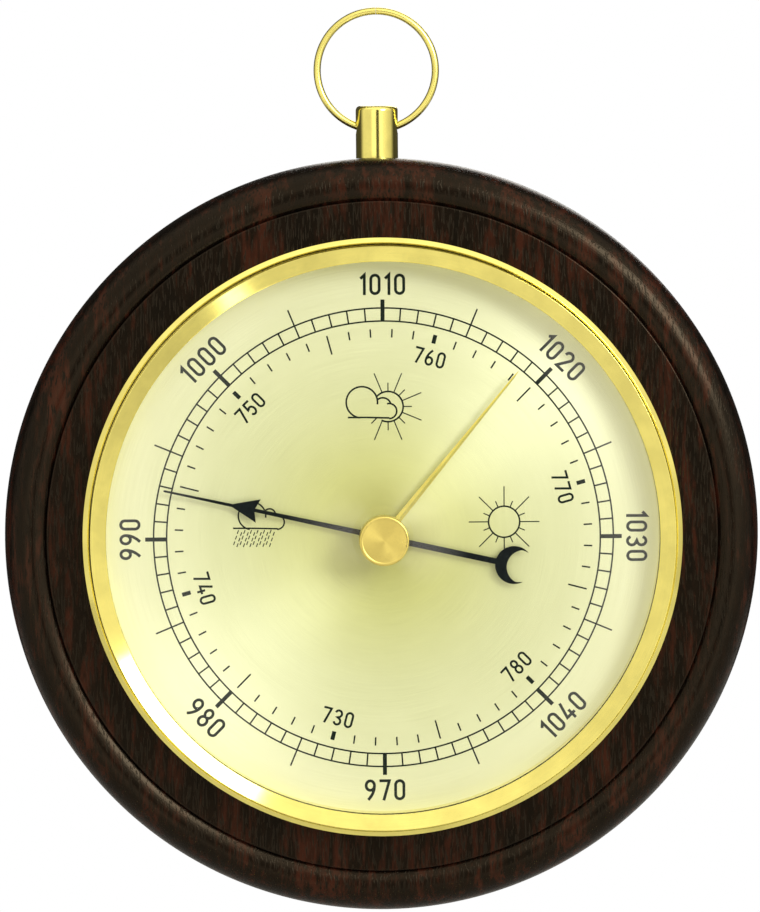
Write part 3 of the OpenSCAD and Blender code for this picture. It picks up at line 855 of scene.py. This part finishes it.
def print_numbers():
    for value in range(970, 1050, 10):
        clock = (value - MID_HPA) * HPA_DEG
        print_number(value, 3.65, 43.6, clock, value not in (970, 980, 1040))
    for value in range(730, 790, 10):
        clock = (value - MMHG_TOP) * MMHG_DEG
        print_number(value, 2.82, 32.0, clock, value not in (730, 740, 780))


def rays(centre, r0, long_r, short_r, first, last, long_at):
    """Rays of a sun at every 22.5 degrees from first to last, every second one long."""
    cells = []
    clock = first
    while clock <= last:
        reach = long_r if (clock - long_at) % 45 == 0 else short_r
        start, end = on_circle(r0, clock), on_circle(reach, clock)
        cells += ribbon([Vector(centre) + start, Vector(centre) + end], 0.19)
        clock += 22.5
    return cells


def print_sun():
    centre = (20.74, 2.62)
    cells = ring_cells(centre, 2.68, 0.28, 64)
    cells += rays(centre, 2.68, 6.1, 3.85, 0, 359, 0)
    print_piece("sign_fair", cells)


def print_sun_and_cloud():
    line = 0.30
    sun = (0.86, 22.60)
    lobe = (-3.63, 23.36)
    cells = ring_cells(sun, 2.60, line, 48, -48, 206)
    cells += rays(sun, 2.60, 6.2, 4.1, -22.5, 225, 22.5)
    base_y = 20.76
    cells += ribbon(arc(lobe, 2.69, 2.69, 98, -172, 50), line)
    cells += ribbon([(-6.05, base_y), (-3.0, base_y), (1.10, base_y - 0.12)], line)
    cells += ribbon(arc((-0.04, 22.71), 1.41, 1.41, -44, 76, 14), line)
    cells += ribbon(arc((1.05, 21.83), 1.30, 1.30, -16, 180, 22), line)
    print_piece("sign_change", cells)


def print_rain():
    line = 0.27
    base_y = 1.84
    cells = ribbon(arc((-22.62, 3.95), 2.36, 2.36, 98, -170, 46), line)
    cells += ribbon([(-25.9, base_y), (-22.0, base_y - 0.04), (-18.2, base_y - 0.14)], line)
    cells += ribbon(arc((-19.60, 4.15), 1.0, 1.0, -62, 94, 14), line)
    cells += ribbon(arc((-18.32, 2.84), 1.24, 1.24, -20, 180, 20), line)
    lean = Vector((-0.24, -0.62))
    for row in range(3):
        for k in range(12):
            top = Vector((-24.95 + 0.56 * k - 0.32 * row, 1.50 - 0.96 * row - 0.36 * (k % 2)))
            cells += ribbon([top, top + lean], 0.17)
    print_piece("sign_rain", cells)


# ------------------------------------------------------------------ hands and knob


def make_pointer():
    """A thin black hand with an arrowhead on its way to the tip and a crescent behind."""
    barb_y = 0.567 * pointer_len
    notch_y = barb_y + 0.5
    apex_y = barb_y + 4.5
    moon_y = 0.598 * pointer_len
    shaft = [
        [(-0.5, 0), (0.5, 0), (0.3, notch_y), (-0.3, notch_y)],
        [(-0.3, notch_y), (0.3, notch_y), (0.27, apex_y), (-0.27, apex_y)],
        [(-0.27, apex_y), (0.27, apex_y), (0.17, pointer_len - 0.3), (-0.17, pointer_len - 0.3)],
        [(-0.17, pointer_len - 0.3), (0.17, pointer_len - 0.3), (0, pointer_len)],
        [(-0.5, -moon_y + 2.9), (0.5, -moon_y + 2.9), (0.5, 0), (-0.5, 0)],
    ]
    barbs = []
    for side in (-1, 1):
        barbs.append([
            (0, notch_y + 0.15), (side * 0.27, notch_y + 0.1), (side * 2.05, barb_y), (side * 0.27, apex_y),
        ])
    outer = arc((0, -moon_y), 3.27, 3.27, -128, 128, 44)
    inner = arc((0, -moon_y - 1.69), 2.93, 2.93, -78, 78, 44)
    moon = [[outer[k], inner[k], inner[k + 1], outer[k + 1]] for k in range(len(outer) - 1)]
    cells = [[Vector(p) for p in cell] for cell in shaft + barbs] + moon
    cells += ring_cells((0, 0), 1.5, 0.8, 48)
    at = turned(clock=pointer_angle)
    bm = plate(cells, hand_z0, hand_z1, True)
    piece("pointer_black", bm, FINISHES["blued_steel"], "pointer",
          ["pointer_hand"], at=at, edge=0.05)
    collet = filleted([
        (0.7, dial_z + 0.4, 0), (1.7, dial_z + 0.4, 0.1), (1.7, hand_z0, 0), (1.1, hand_z0, 0),
        (1.1, hand_z1 + 0.25, 0.1), (0.7, hand_z1 + 0.25, 0),
    ], 3)
    piece("pointer_bush", lathe(collet, 64), FINISHES["movement_brass"], "pointer",
          ["pointer_collet"], at=at)


def make_set_hand():
    """A gilt needle folded along its middle, on a round boss."""
    sections = [(0.4, 0.65), (set_len * 0.5, 0.40), (set_len - 1.2, 0.17), (set_len - 0.02, 0.03)]
    thickness, fold = 0.18, 0.55
    bm = bmesh.new()
    rings = []
    for y, half in sections:
        ridge = set_z + max(thickness + 0.02, fold * (half / 0.65) ** 0.5)
        shoulder = set_z + thickness
        corners = [(-half, set_z), (-half, shoulder), (0, ridge), (half, shoulder), (half, set_z)]
        rings.append([bm.verts.new((x, y, z)) for x, z in corners])
    for ring, other in zip(rings, rings[1:]):
        for k in range(5):
            bm.faces.new((ring[k], ring[(k + 1) % 5], other[(k + 1) % 5], other[k]))
    bm.faces.new(rings[0])
    bm.faces.new(rings[-1][::-1])
    at = turned(clock=set_angle)
    piece("set_hand_needle", bm, FINISHES["set_hand_gilt"], "set_hand",
          ["set_hand"], at=at, sharp=20)
    boss = filleted([(1.0, set_z - 0.2, 0), (2.0, set_z - 0.2, 0.1), (2.0, glass_z0 - 0.05, 0.15),
                     (1.0, glass_z0 - 0.05, 0)], 3)
    piece("set_hand_boss", lathe(boss, 96), FINISHES["set_hand_gilt"], "set_hand", at=at)


def make_knob():
    """The setting knob: a fine-knurled side under a smooth rim, and a shallow dished top."""
    knurls = 72
    low, high = washer_z1 + 0.9, knob_top - 1.0

    def knurl(z, a):
        return -0.05 * (0.5 + 0.5 * math.cos(knurls * a)) if low < z < high else 0

    corners = [
        (0, washer_z1, 0), (knob_r - 0.6, washer_z1, 0.1), (knob_r - 0.55, washer_z1 + 0.4, 0.1),
        (knob_r, washer_z1 + 0.6, 0.15), (knob_r, knob_top, 0.25), (knob_r - 0.45, knob_top - 0.01, 0.1),
        (knob_r - 0.55, knob_top - 0.06, 0.06), (0, knob_top - 0.34, 0),
    ]
    outline = []
    for here, there in zip(filleted(corners, 4), filleted(corners, 4)[1:] + [Vector((0, washer_z1))]):
        outline.append(here)
        if there.y - here.y > 2:
            outline += [Vector((knob_r, z)) for z in (low - 0.02, low + 0.08, high - 0.08, high + 0.02)]
    at = turned(clock=set_angle)
    bm = lathe(guarded(outline, 0.05), 288, knurl)
    piece("turned_knob", bm, FINISHES["knob_brass"], "set_hand", ["set_knob"], at=at)
    shaft = [Vector(p) for p in ((0, set_z - 0.2), (1.0, set_z - 0.2), (1.0, washer_z1), (0, washer_z1))]
    piece("knob_shaft", lathe(shaft, 64), FINISHES["knob_brass"], "set_hand", at=at)


# ------------------------------------------------------------------ CAD pieces that show


EDGES = {"case_screws": 0.12, "movement_screws": 0.1, "adjusting_screw": 0.1, "case_nuts": 0.1,
         "base_plate": 0.1, "knob_washer": 0.08, "dial_spacer_ring": 0.08}


def finish_cad_nodes():
    slots = {row["node"]: row["material_slot"] for row in frame["record"]["subparts"]}
    for name, obj in frame["nodes"].items():
        if obj.hide_render:
            continue
        obj.data.materials.clear()
        obj.data.materials.append(FINISHES[slots[name]])
        if name in EDGES:
            soften(obj, EDGES[name])


# ------------------------------------------------------------------ studio

CAMERA_AT = Vector((-0.0274, -1.0, 0.0765))
CAMERA_PITCH = -3.675            # degrees, and the same for the next two
CAMERA_ROLL = 0.528
CAMERA_YAW = -1.592
CAMERA_LENS = 224.3


def make_camera():
    data = bpy.data.cameras.new("camera")
    data.lens = CAMERA_LENS
    data.sensor_width = 36
    data.clip_start = 0.05
    data.clip_end = 20
    camera = bpy.data.objects.new("camera", data)
    turns = [
        Matrix.Rotation(math.radians(CAMERA_YAW), 4, "Z"),
        Matrix.Rotation(math.radians(CAMERA_PITCH), 4, "X"),
        Matrix.Rotation(math.radians(CAMERA_ROLL), 4, "Y"),
        Matrix.Rotation(math.pi / 2, 4, "X"),
    ]
    camera.matrix_world = Matrix.Translation(CAMERA_AT) @ turns[0] @ turns[1] @ turns[2] @ turns[3]
    bpy.context.scene.collection.objects.link(camera)
    bpy.context.scene.camera = camera


def softbox(name, clock, off_axis, distance, size, radiance, colour=(1, 1, 1)):
    """A square light that faces the dial. clock is its direction round the dial, clockwise
    from the top, and off_axis its angle from the dial's own axis, in degrees."""
    data = bpy.data.lights.new(name, "AREA")
    data.shape = "RECTANGLE"
    data.size, data.size_y = size
    data.energy = radiance * math.pi * size[0] * size[1]
    data.color = colour
    light = bpy.data.objects.new(name, data)
    side = on_circle(math.sin(math.radians(off_axis)), clock)
    away = Vector((side.x, -math.cos(math.radians(off_axis)), side.y))
    light.location = away * distance
    light.rotation_euler = away.to_track_quat("Z", "Y").to_euler()
    light.visible_camera = False
    bpy.context.scene.collection.objects.link(light)


def make_world():
    """A white room that is dark only in a slot behind the camera, as between two diffusers."""
    world = bpy.data.worlds.new("studio")
    bpy.context.scene.world = world
    world.use_nodes = True
    tree = world.node_tree
    tree.nodes.clear()

    def add(kind, *values, **settings):
        node = tree.nodes.new(kind)
        for key, value in settings.items():
            setattr(node, key, value)
        for socket, value in zip(node.inputs, values):
            if isinstance(value, bpy.types.NodeSocket):
                tree.links.new(value, socket)
            elif value is not None:
                socket.default_value = value
        return node

    def calc(operation, a, b=None):
        return add("ShaderNodeMath", a, b, operation=operation).outputs[0]

    slot_x, slot_z = 0.14, 0.36
    slot_mid = 0.045
    split = add("ShaderNodeSeparateXYZ", add("ShaderNodeTexCoord").outputs["Generated"])
    x, y, z = split.outputs
    wide = calc("POWER", calc("DIVIDE", calc("SUBTRACT", x, slot_mid), slot_x), 2.0)
    tall = calc("POWER", calc("DIVIDE", z, slot_z), 2.0)
    from_slot = calc("SQRT", calc("ADD", wide, tall))
    front = add("ShaderNodeMapRange", from_slot, 0.8, 1.2, 0.02, 1.0).outputs[0]
    behind = add("ShaderNodeMapRange", y, -0.18, 0.18, 1.0, 0.08).outputs[0]
    level = calc("MULTIPLY", front, behind)
    low_right = calc("MULTIPLY", calc("SUBTRACT", x, z), 0.707)
    dim = add("ShaderNodeMapRange", low_right, 0.56, 0.72, 1.0, 0.7).outputs[0]
    side = add("ShaderNodeMapRange", x, -0.9, 0.9, 0.88, 1.0).outputs[0]
    above = add("ShaderNodeMapRange", z, 0.35, 0.75, 1.0, 1.45).outputs[0]
    strength = calc("MULTIPLY", calc("MULTIPLY", level, dim), calc("MULTIPLY", side, above))
    frontal = add("ShaderNodeMapRange", y, -0.82, -0.92, 1.0, 1.6).outputs[0]
    strength = calc("MULTIPLY", strength, frontal)
    room = add("ShaderNodeBackground", (1.0, 0.94, 0.84, 1), strength)
    backdrop = add("ShaderNodeBackground", (1, 1, 1, 1), 1.0)
    seen = add("ShaderNodeLightPath").outputs["Is Camera Ray"]
    mixed = add("ShaderNodeMixShader", seen, room.outputs[0], backdrop.outputs[0])
    output = add("ShaderNodeOutputWorld")
    tree.links.new(mixed.outputs[0], output.inputs["Surface"])


def make_lights():
    softbox("key", 55, 40, 1.2, (0.46, 0.46), 12, (1.0, 0.98, 0.93))
    softbox("low_fill", 150, 55, 1.3, (0.40, 0.40), 2.5, (1.0, 0.96, 0.86))
    softbox("back_fill", 20, 148, 1.3, (0.70, 0.70), 3, (1.0, 0.97, 0.92))


def make_floor():
    """A pale floor a little below the hanging barometer."""
    drop = 0.04
    half_w, near, far = 0.4, -0.14, 0.2
    bm = bmesh.new()
    cells_x, cells_y = 24, 12
    grid = []
    for i in range(cells_x + 1):
        column = []
        for j in range(cells_y + 1):
            x = -half_w + 2 * half_w * i / cells_x
            y = near + (far - near) * j / cells_y
            column.append(bm.verts.new((x, y, cad_box[0].z - drop)))
        grid.append(column)
    for i in range(cells_x):
        for j in range(cells_y):
            bm.faces.new((grid[i][j], grid[i + 1][j], grid[i + 1][j + 1], grid[i][j + 1]))
    mesh = bpy.data.meshes.new("floor")
    bm.to_mesh(mesh)
    bm.free()
    floor = bpy.data.objects.new("floor", mesh)
    bpy.context.scene.collection.objects.link(floor)
    floor.data.materials.append(floor_finish())


bpy.context.scene.view_settings.view_transform = "Standard"
make_camera()
make_world()
make_lights()
make_floor()
make_case()
make_stud()
make_hanging_ring()
make_bezel()
make_glass()
make_dial_plate()
print_hpa_scale()
print_mmhg_scale()
print_numbers()
print_sun()
print_sun_and_cloud()
print_rain()
make_pointer()
make_set_hand()
make_knob()
finish_cad_nodes()
